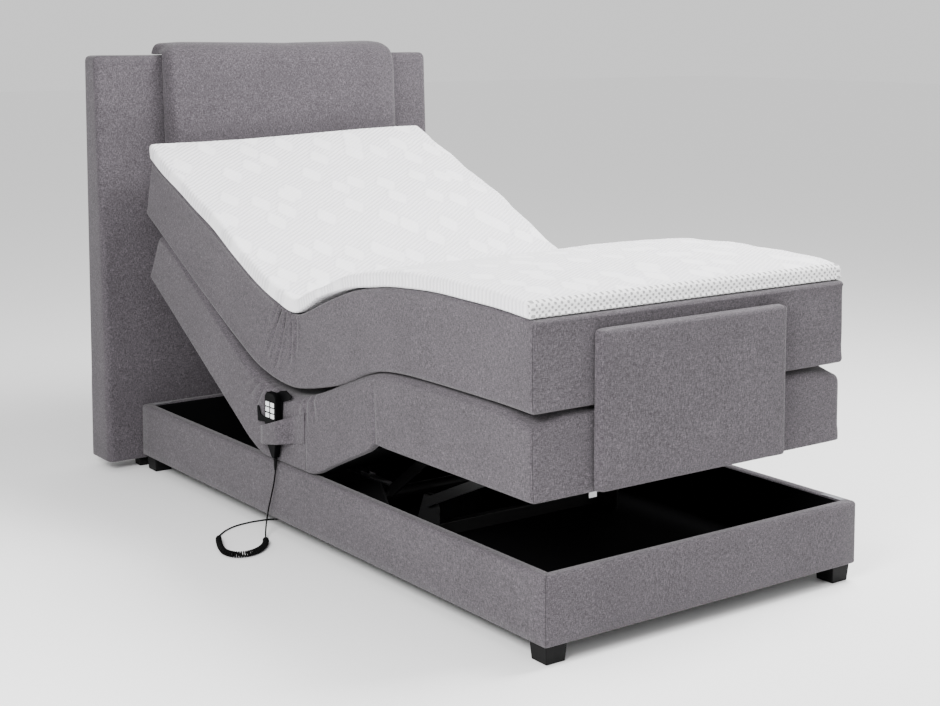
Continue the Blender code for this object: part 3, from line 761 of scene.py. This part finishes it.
MATTRESS_RIBS = Ribs([
    (B(0.886, 0.066), B(0.936, 0.230)), (B(0.70, 0.075), B(0.74, 0.257)),
    (B(0.50, 0.085), B(0.52, 0.286)), (B(0.35, 0.095), B(0.37, 0.303)),
    (B(0.22, 0.106), B(0.25, 0.314)), ((1.300, 0.459), (1.225, 0.663)),
    ((1.229, 0.440), (1.165, 0.643)), ((1.160, 0.429), (1.118, 0.629)),
    ((1.090, 0.4265), (1.075, 0.6265)), ((1.020, 0.436), (1.02, 0.644)),
    ((0.940, 0.453), (0.95, 0.673)), ((0.861, 0.474), (0.868, 0.704)),
    ((0.790, 0.501), (0.785, 0.730)), ((0.725, 0.527), (0.70, 0.747)),
    ((0.660, 0.543), (0.62, 0.758)), ((0.571, 0.552), (0.53, 0.765)),
    ((0.450, 0.5545), (0.43, 0.769)), ((0.300, 0.5545), (0.30, 0.769)),
    ((0.160, 0.5535), (0.16, 0.765)), ((0.0505, 0.550), (0.0505, 0.7575))])
KNEE_BEND = place(0.0, 0.868, 0.0), place(0.0, 0.50, 0.0)  # where the soft layers bend over the knee
TOPPER_LIFT = 0.0015
TOPPER_THICK = 0.042
LOW = -0.0948  # the box covers' underside, level with their boards
BOX_RIBS = Ribs([
    (B(0.777, LOW), B(0.787, 0.074)), (B(0.60, LOW), B(0.61, 0.077)), (B(0.40, LOW), B(0.40, 0.080)),
    (B(0.20, LOW), B(0.20, 0.080)), (B(0.10, LOW), B(0.10, 0.087)), (B(0.03, LOW), (1.262, 0.411)),
    ((1.268, 0.2072), (1.215, 0.403)), ((1.20, 0.2062), (1.155, 0.399)),
    ((1.13, 0.2062), (1.10, 0.400)), ((1.06, 0.2064), (1.05, 0.408)),
    (T(-0.01, LOW), (0.998, 0.423)), (T(0.08, LOW), (0.925, 0.449)), (T(0.18, LOW), (0.845, 0.483)),
    (T(0.28, LOW), (0.765, 0.513)), ((0.692, 0.3500), (0.70, 0.533)),
    ((0.64, 0.3503), (0.645, 0.5425)), ((0.54, 0.3503), (0.54, 0.547)),
    ((0.40, 0.3503), (0.40, 0.5485)), ((0.25, 0.3503), (0.25, 0.5465)),
    ((0.12, 0.3503), (0.12, 0.543)), ((0.0535, 0.3503), (0.0535, 0.539))])
SIDE_LINE = 0.494  # the box covers' half width


def far_lift(rest, ribs):
    """How much higher the soft layers lie on the bed's right side, along the raised back."""
    x, v, h = rest.T
    along = np.interp(v, [0.0, ribs.length_at(2.5), ribs.length_at(8.0), ribs.length],
                      [0.018, 0.034, 0.012, 0.0])
    return smooth(np.clip((x + 0.35) / 0.85, 0, 1)) * along


def creases(v, up, places, width):
    """Narrow upright creases, each given as its place, its top and bottom, its lean and its depth."""
    total = np.zeros_like(v)
    for spot, top, bottom, lean, depth in places:
        middle = spot + lean * np.sqrt(np.clip(1 - up, 0, 1))
        fade = np.clip((up - bottom) / 0.12, 0, 1) * np.clip((top - up) / 0.06, 0, 1)
        roll = 0.55 * bell(v, middle + 2.1 * width, 1.3 * width)  # the swelling beside the crease
        total += depth * (bell(v, middle, width) - roll) * fade
    return total


def make_mattress(mats):
    half, thick = 0.4975, 0.2
    ribs = MATTRESS_RIBS
    hip = ribs.length_at(7.0)

    def shape(rest):
        x, v, h = rest.T
        up = h / thick
        waist = -0.005 * np.sin(np.pi * up) * bell(v, hip, 0.14) * np.sign(x)
        return moves(waist, 0.0, far_lift(rest, ribs) * up)

    piece = soft_block("mattress_cover", ribs, half, thick, (0.01, 0.012, 0.010, 0.012, 0.012),
                       (0.03, 0.02, 0.02), shape=shape, dense=[(hip, 0.1, 0.0065)])
    puff(piece, 0.0035, held=lambda rest: (rest[:, 2] > 0.02) * (rest[:, 2] < thick - 0.012) * 1.0)
    subdivide(piece)

    lines = [(hip - 0.058, 1.02, 0.74, -0.05, -0.0052), (hip - 0.030, 1.02, 0.2, -0.062, -0.0052),
             (hip - 0.006, 1.02, 0.15, -0.032, -0.0048), (hip + 0.020, 1.02, 0.3, 0.006, -0.0050),
             (hip + 0.060, 1.0, 0.45, -0.012, -0.0034), (hip - 0.090, 0.98, 0.5, -0.035, -0.0030)]

    def wrinkles(rest):
        x, v, h = rest.T
        side = np.clip((np.abs(x) - half + 0.02) / 0.02, 0, 1)
        up = h / thick
        broad = 0.0018 * np.sin(v * 9.0 + 1.3) * np.sin(h * 21.0) * np.sin(np.pi * np.clip(up, 0, 1))
        return side * (creases(v, up, lines, 0.0058) + broad)

    push(piece, wrinkles)
    corners = corner_seams(half, ribs.length, thick, 0.006)

    def seams(rest):
        """Corner seams, and the shadows deep in the first creases."""
        x, v, h = rest.T
        gaps, up = corners(rest), h / thick
        for spot, top, bottom, lean, _ in lines[:4]:
            off = np.abs(v - spot - lean * np.sqrt(np.clip(1 - up, 0, 1)))
            inside = ((np.abs(x) > half - 0.004) & (off < 0.02) & (up > 0.62 * top + 0.38 * bottom)
                      & (up < 0.97))
            # painted shade: the deepest parts of these creases get the dark seam colour
            gaps = np.where(inside, 0.0012 - 0.6 * off, gaps)
        return gaps

    mark_seams_and_shade(piece.data, seams(rest_places(piece.data)))
    piece.data.materials.append(mats["weave"])
    bend_parts(piece, ribs, "upholstery_grey", 0.9,
               ("mattress_head", 3.55, ["mattress_back"], "back_section", "back_mattress",
                BACK.mark(0.33), BACK.mark(0.92)),
               ("mattress_hip_back", 7.3, ["mattress_mid"], "bed_frame", "back_section",
                BACK.mark(0.04), BACK.mark(0.265)),
               ("mattress_hip_thigh", 10.8, [], "bed_frame", "thigh_section",
                THIGH.mark(0.062), THIGH.mark(0.185)),
               ("mattress_foot", None, ["mattress_leg"], "thigh_section", "lower_leg_section",
                *KNEE_BEND))


def topper_ribs():
    """The mattress's upper line, raised by the topper's thickness."""
    rows = []
    tops = MATTRESS_RIBS.points[:, 2:]
    # past the hip the topper lifts off the mattress
    hollow = {8: 0.003, 9: 0.008, 10: 0.013, 11: 0.009, 12: 0.004}
    for i in range(len(tops)):
        way = Vector(tops[max(i - 1, 0)]) - Vector(tops[min(i + 1, len(tops) - 1)])
        up = Vector((-way.y, way.x)).normalized()
        low = Vector(tops[i]) + up * (TOPPER_LIFT + hollow.get(i, 0.0))
        high = Vector(tops[i]) + up * TOPPER_THICK
        rows.append([tuple(low), tuple(high)])
    rows[0] = [B(0.942, 0.2325), B(0.979, 0.272)]
    rows[-1] = [(0.058, 0.7592), (0.060, 0.798)]
    return Ribs(rows)


def make_topper(mats):
    half, thick = 0.5035, 0.04
    ribs = topper_ribs()

    def shape(rest):
        x, v, h = rest.T
        edge = bell(np.abs(x), half, 0.03)
        wave = 0.0025 * np.sin(v * 11.0) * edge + 0.0015 * np.sin(v * 27.0 + x * 3) * edge
        return moves(wave * np.sign(x), 0.0, far_lift(rest, ribs))

    piece = soft_block("topper_cover", ribs, half, thick, (0.015, 0.013, 0.011, 0.0135, 0.0135),
                       (0.03, 0.02, 0.0066), shape=shape, dense=[(ribs.length_at(8.0), 0.12, 0.012)])
    puff(piece, 0.004, 2.5, held=lambda rest: (rest[:, 2] > 0.008) * 1.0)
    subdivide(piece)

    def quilting(rest):
        x, v, h = rest.T
        top = np.clip((h - thick * 0.6) / (thick * 0.3), 0, 1)
        soft = np.sin(x * 31 + 2 * np.sin(v * 7)) * np.sin(v * 33 + 2 * np.sin(x * 9))
        dimples = np.abs(np.sin(x * 52 + v * 20)) * np.abs(np.sin(v * 47 - x * 16))
        end = bell(v, ribs.length, 0.02) + bell(v, 0.0, 0.02)
        return top * (0.0012 * soft + 0.0010 * dimples) * (1 - np.clip(end, 0, 1))

    push(piece, quilting)
    mark_seams_and_shade(piece.data, corner_seams(half, ribs.length, thick, 0.006)(rest_places(piece.data)))
    piece.data.materials.append(mats["knit"])
    piece.data.materials.append(mats["mesh"])
    border = 0.0115
    paint_faces(piece.data, lambda at: abs(at[0]) < half - 0.004
                and not border <= at[1] <= ribs.length - border)
    bend_parts(piece, ribs, "topper_white", 0.8,
               ("topper_head", 3.5, ["topper_back"], "back_section", "back_topper",
                BACK.mark(0.33), BACK.mark(0.95)),
               ("topper_hip_back", 7.2, ["topper_mid"], "bed_frame", "back_section",
                BACK.mark(0.062), BACK.mark(0.265)),
               ("topper_hip_thigh", 10.8, [], "bed_frame", "thigh_section",
                THIGH.mark(0.076), THIGH.mark(0.185)),
               ("topper_foot", None, ["topper_leg"], "thigh_section", "lower_leg_section",
                *KNEE_BEND))


def make_box_covers(mats):
    half, thick = SIDE_LINE, 0.19
    ribs = BOX_RIBS
    knee, hip, seam = ribs.length_at(14.0), ribs.length_at(5.6), ribs.length_at(9.4)

    def shape(rest):
        """The upper corners sag a little at both ends."""
        x, v, h = rest.T
        foot = bell(half - np.abs(x), 0.0, 0.06) * bell(ribs.length - v, 0.0, 0.07)
        head = bell(half - np.abs(x), 0.0, 0.05) * bell(v, 0.0, 0.06)
        drop = -(0.02 * foot + 0.014 * head) * np.clip(h / thick, 0, 1) ** 2
        return moves(0.0, 0.0, drop)

    piece = soft_block("box_cover", ribs, half, thick, (0.014, 0.014, 0.013, 0.006, 0.02),
                       (0.035, 0.02, 0.02), shape=shape,
                       dense=[(hip, 0.12, 0.009), (seam, 0.06, 0.009), (knee, 0.03, 0.006)])
    puff(piece, 0.004, held=lambda rest: (rest[:, 2] > 0.03) * (np.abs(rest[:, 0]) < half - 0.001) * 1.0)
    subdivide(piece)

    def folds(rest):
        x, v, h = rest.T
        up = np.clip(h / thick, 0, 1)
        side = np.clip((np.abs(x) - half + 0.02) / 0.02, 0, 1)
        crease = -0.004 * bell(v, knee, 0.007) * side * np.clip(1.1 - up, 0, 1)
        gather = creases(v, up, [
            (hip - 0.075, 1.1, 0.66, -0.10, -0.006), (hip - 0.045, 1.1, 0.6, -0.08, -0.005),
            (hip - 0.015, 1.1, 0.55, -0.05, -0.0055), (hip + 0.02, 1.1, 0.62, -0.02, -0.005),
            (seam - 0.03, 1.1, 0.6, -0.03, -0.0035), (seam, 1.1, 0.6, 0.0, -0.0035),
            (seam + 0.03, 1.1, 0.65, 0.04, -0.003)], 0.008)
        return side * gather + crease

    push(piece, folds)
    corners = corner_seams(half, ribs.length, thick, 0.004)

    def seams(rest):
        """Corner seams, and the upright end of the side patch beside the handset."""
        x, v, h = rest.T
        patch = v - seam
        near = (x < -half + 0.003) & (patch < 0.05) & (patch > -0.3) & (h < 0.08)
        return np.where(near, -0.5 * patch, corners(rest))

    mark_seams_and_shade(piece.data, seams(rest_places(piece.data)))
    piece.data.materials.append(mats["weave"])
    piece.data.materials.append(mats["dust"])
    border = 0.02
    paint_faces(piece.data, lambda at: at[2] < 0.004 and abs(at[0]) < half - border
                and border < at[1] < ribs.length - border)
    bend_parts(piece, ribs, "upholstery_grey", 0.95,
               ("box_cover_back", 7.6, ["back_core", "seat_core"], "bed_frame", "back_section",
                BACK.mark(-0.045), BACK.mark(0.055)),
               ("box_cover_thigh", 12.5, ["thigh_core"], "bed_frame", "thigh_section",
                THIGH.mark(-0.05), THIGH.mark(0.05)),
               ("box_cover_leg", None, ["leg_core"], "thigh_section", "lower_leg_section",
                place(0.0, 0.72, 0.0), place(0.0, 0.665, 0.0)))


def make_headboard(mats):
    low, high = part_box("headboard_body")
    middle, half = width_of("headboard_body")
    back = high[1] - FOOT_Y - 0.001
    foot, top = low[2], high[2]
    lean = 0.0655

    def leaning(nearest):
        """The y of a front face at a height, which leans back as the headboard does."""
        start = nearest - FOOT_Y + 0.0005
        return lambda z: start + lean * (z - foot) / (top - foot)

    front = leaning(low[1])
    heights = [foot, 0.2, 0.5, 0.8, 1.05, top]
    ribs = Ribs([((back, z), (front(z), z)) for z in heights])
    piece = soft_block("headboard_cover", ribs, half, 0.12, (0.02, 0.008, 0.022, 0.014, 0.02),
                       (0.03, 0.03, 0.03), middle)
    puff(piece, 0.003, held=lambda rest: (rest[:, 2] > 0.01) * (rest[:, 1] > 0.25) * 1.0)
    subdivide(piece)
    dress_pad(piece, mats["weave"], "bed_frame", "headboard_body")

    low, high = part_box("headboard_cushion")
    middle, half = width_of("headboard_cushion")
    half -= 0.004
    front, crown = leaning(low[1]), high[2] - 0.003
    over = top + 0.0015
    proud = 0.052
    rows = [((front(z) - 0.0015, z), (front(z) - proud, z + 0.004)) for z in (0.9, 0.98, 1.08, 1.18)]
    rows += [((front(1.27) - 0.0015, 1.27), (front(1.27) - proud, 1.262)),
             ((front(top) - 0.001, over), (front(1.3) - proud + 0.010, 1.316)),
             ((front(top) + 0.016, over), (front(top) - 0.016, crown)),
             ((back - 0.006, over), (back - 0.006, crown))]
    ribs = Ribs(rows)
    turn = ribs.length_at(4.0)

    def shoulders(rest):
        x, v, h = rest.T
        share = np.clip((v - turn) / 0.075, 0, 1) * np.clip(1.0 - (v - turn - 0.1) / 0.06, 0, 1)
        narrow = 0.022 * share ** 2 * (h / 0.05)
        lip = (v > turn + 0.06) * bell(half - np.abs(x), 0.0, 0.018)
        rest_on = -0.006 * lip * np.clip(1 - h / 0.02, 0, 1)
        return moves(-x / half * narrow, 0.0, rest_on)

    pad = soft_block("headboard_pad", ribs, half, 0.05, (0.024, 0.02, 0.014, 0.005, 0.024),
                     (0.025, 0.02, 0.014), middle, shoulders)
    puff(pad, 0.007, held=lambda rest: np.clip((rest[:, 2] - 0.012) / 0.02, 0, 1))
    subdivide(pad)
    dress_pad(pad, mats["weave"], "bed_frame", "headboard_cushion")


def make_foot_panel(mats):
    low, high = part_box("foot_panel")
    middle, half = width_of("foot_panel")
    back, face = high[1] - FOOT_Y, low[1] - FOOT_Y + 0.001
    heights = np.linspace(low[2], high[2], 6)
    ribs = Ribs([((back, z), (face, z)) for z in heights])

    def corners(rest):
        """Rounds the panel's four corners in its own plane."""
        x, v, h = rest.T
        radius = 0.018
        across, along = np.abs(x) - half + radius, np.maximum(radius - v, v - ribs.length + radius)
        reach = np.hypot(across, along)
        pull = np.where((across > 0) & (along > 0),
                        np.maximum(reach - radius, 0) / np.maximum(reach, 1e-6), 0.0)
        ways = np.where(v < ribs.length / 2, 1.0, -1.0)
        return moves(-np.sign(x) * across * pull, ways * along * pull, 0.0)

    piece = soft_block("foot_panel_cover", ribs, half, 0.025, (0.010, 0.009, 0.010, 0.004, 0.010),
                       (0.02, 0.02, 0.006), middle, corners)
    puff(piece, 0.003, held=lambda rest: np.clip((rest[:, 2] - 0.004) / 0.01, 0, 1))
    subdivide(piece)
    dress_pad(piece, mats["weave"], "lower_leg_section", "foot_panel")


def make_rail_cover(mats):
    """Fabric over the four rails of the base, mitred and seamed at the corners, black inside."""
    half, length, thick, soft = FRAME_HALF, FRAME_LENGTH, RAIL_THICK, 0.007
    head_clear = 0.0005
    low, high = RAIL_LOW, RAIL_TOP
    profile = [(0.003, low), (0.0, low + 0.003)]
    profile += [(0.0, low + 0.003 + (high - low - 0.013) * i / 6) for i in range(1, 7)]
    profile += [(0.010 - 0.010 * math.cos(a), high - 0.010 + 0.010 * math.sin(a))
                for a in (math.radians(d) for d in (25, 50, 75, 90))]
    profile += [(thick - 0.008, high), (thick - 0.0035, high - 0.0012), (thick - 0.0008, high - 0.0045),
                (thick, high - 0.012), (thick, (low + high) / 2), (thick, low)]
    sides = [((-half, 0.0), (1, 0), 2 * half), ((half, 0.0), (0, 1), length),
             ((half, length), (-1, 0), 2 * half), ((-half, length), (0, -1), length)]
    bm = bmesh.new()
    rings = []
    for start, way, span in sides:
        steps = max(2, round(span / 0.06))
        inner = (-way[1], way[0])
        for far in [None, soft] + [span * i / steps for i in range(1, steps)] + [span - soft]:
            ring = []
            for o, z in profile:
                if far is None:  # the rounded corner itself
                    along = in_by = soft - (soft - o) / math.sqrt(2) if o < soft else o
                else:
                    along = min(max(far, max(soft, o)), span - max(soft, o))
                    sway = 0.0007 * math.sin(far * 13.0) * math.sin(math.pi * (z - low) / (high - low))
                    in_by = o - (sway if o < thick else 0.0)
                x = start[0] + way[0] * along + inner[0] * in_by
                y = start[1] + way[1] * along + inner[1] * in_by
                ring.append(bm.verts.new(place(x, min(y, length - head_clear), z)))
            rings.append(ring)
    count = len(profile)
    for i, ring in enumerate(rings):
        after = rings[(i + 1) % len(rings)]
        for k in range(count):
            face = bm.faces.new((ring[k], ring[(k + 1) % count], after[(k + 1) % count], after[k]))
            face.material_index = int(k >= count - 4)
    bmesh.ops.remove_doubles(bm, verts=bm.verts, dist=0.0001)
    cover = finish_bmesh("rail_cover", bm, mats["weave"], mats["dust"], sharp=60)
    co = coordinates(cover.data)
    x, y = np.abs(co[:, 0] - MID_X), co[:, 1] - FOOT_Y
    mark_seams_and_shade(cover.data, (half - x) - np.minimum(y, length - y))
    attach(cover, "bed_frame")
    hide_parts("side_rail_left", "side_rail_right", "foot_rail", "head_rail")


def make_pocket(mats):
    """The fabric band that holds the handset against the seat section, hemmed along both edges."""
    low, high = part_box("handset_pocket")
    start_y, end_y = low[1] - FOOT_Y, high[1] - FOOT_Y
    face_x, grip_x = high[0] - MID_X - 0.0095, low[0] - MID_X
    handset_y, stations, rows, thick = 1.179, 40, 10, 0.003
    bm = bmesh.new()
    grids = []
    for skin in (0.0, thick):
        grid = []
        for i in range(stations + 1):
            share = i / stations
            y = start_y + (end_y - start_y) * share
            near = min(1.0, max(0.0, abs(y - handset_y) - 0.034) / 0.06)
            x = grip_x + (face_x - thick - grip_x) * smooth(near)
            top = 0.372 - 0.084 * share - 0.006 * math.sin(math.pi * share)
            bottom = 0.284 - 0.046 * share
            line = []
            flat = min(1.0, max(0.0, share - 0.86) / 0.14)
            sink = 0.0024 * flat * flat  # the sewn end lies flat on the seat section
            for j in range(rows + 1):
                up = j / rows
                hem = 0.0009 * (math.exp(-((up - 0.07) / 0.05) ** 2) + math.exp(-((up - 0.93) / 0.05) ** 2))
                pull = 0.0012 * math.sin(math.pi * up) * math.sin(9 * share)
                z = bottom + (top - bottom) * up
                line.append(bm.verts.new(place(x + (skin or sink + (hem + pull) * (1 - flat)), y, z)))
            grid.append(line)
        grids.append(grid)
    outer, inner = grids
    for grid in grids:
        for i in range(stations):
            for j in range(rows):
                bm.faces.new((grid[i][j], grid[i + 1][j], grid[i + 1][j + 1], grid[i][j + 1]))
    edge = ([(i, 0) for i in range(stations)] + [(stations, j) for j in range(rows)]
            + [(i, rows) for i in range(stations, 0, -1)] + [(0, j) for j in range(rows, 0, -1)])
    for (a, b), (c, d) in zip(edge, edge[1:] + edge[:1]):
        bm.faces.new((outer[a][b], outer[c][d], inner[c][d], inner[a][b]))
    band = finish_bmesh("handset_band", bm, mats["weave"], sharp=70)
    subdivide(band)
    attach(band, "bed_frame")
    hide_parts("handset_pocket")


def plate(name, x, y, z, material, body, edge):
    """A thin plate with rounded edges, such as a hook tape or a bracket."""
    bm = bmesh.new()
    bmesh.ops.create_cube(bm, size=1.0)
    size = Vector((x[1] - x[0], y[1] - y[0], z[1] - z[0]))
    bmesh.ops.scale(bm, vec=size, verts=bm.verts)
    bmesh.ops.subdivide_edges(bm, edges=bm.edges, cuts=3, use_grid_fill=True)
    bmesh.ops.translate(bm, vec=place((x[0] + x[1]) / 2, (y[0] + y[1]) / 2, (z[0] + z[1]) / 2),
                        verts=bm.verts)
    piece = finish_bmesh(name, bm, material, sharp=40)
    bevel = piece.modifiers.new("edge", "BEVEL")
    bevel.width, bevel.segments, bevel.limit_method = edge, 2, "ANGLE"
    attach(piece, body)


def make_fittings(mats):
    tape = (RAIL_TOP - 0.0004, RAIL_TOP + 0.0004)
    for name, x, y in (("hook_tape_foot", (0.471, 0.488), (0.026, 0.094)),
                       ("hook_tape_head", (-0.472, -0.41), (2.0095, 2.0185))):
        plate(name, x, y, tape, mats["strip"], "bed_frame", 0.0002)
    plate("board_tab", (-0.298, -0.275), (0.0955, 0.0985), (0.324, 0.3495),
          mats["steel"], "lower_leg_section", 0.001)
    plate("knee_bracket", (-0.466, -0.438), (0.604, 0.667), (0.3405, 0.3485),
          mats["steel"], "lower_leg_section", 0.0012)


# -------------------------------- studio, CAD looks and the run

SLOT_LOOKS = {
    "upholstery_grey": "weave", "topper_white": "knit", "board_black": "dust", "foot_black": "wood",
    "steel_black": "powder", "steel_bright": "steel", "plastic_black": "plastic",
    "handset_black": "handset", "button_silver": "key", "rubber_black": "rubber",
}


def dress_nodes(mats):
    for part in frame["record"]["subparts"]:
        node = frame["nodes"][part["node"]]
        look = mats[SLOT_LOOKS[part["material_slot"]]]
        if not node.material_slots:
            node.data.materials.append(look)
        for slot in node.material_slots:
            slot.material = look


def main():
    make_camera()
    mats = make_materials()
    make_cord(mats["rubber"])
    make_studio()
    dress_nodes(mats)
    make_rail_cover(mats)
    make_headboard(mats)
    make_box_covers(mats)
    make_mattress(mats)
    make_topper(mats)
    make_foot_panel(mats)
    make_pocket(mats)
    make_fittings(mats)


main()
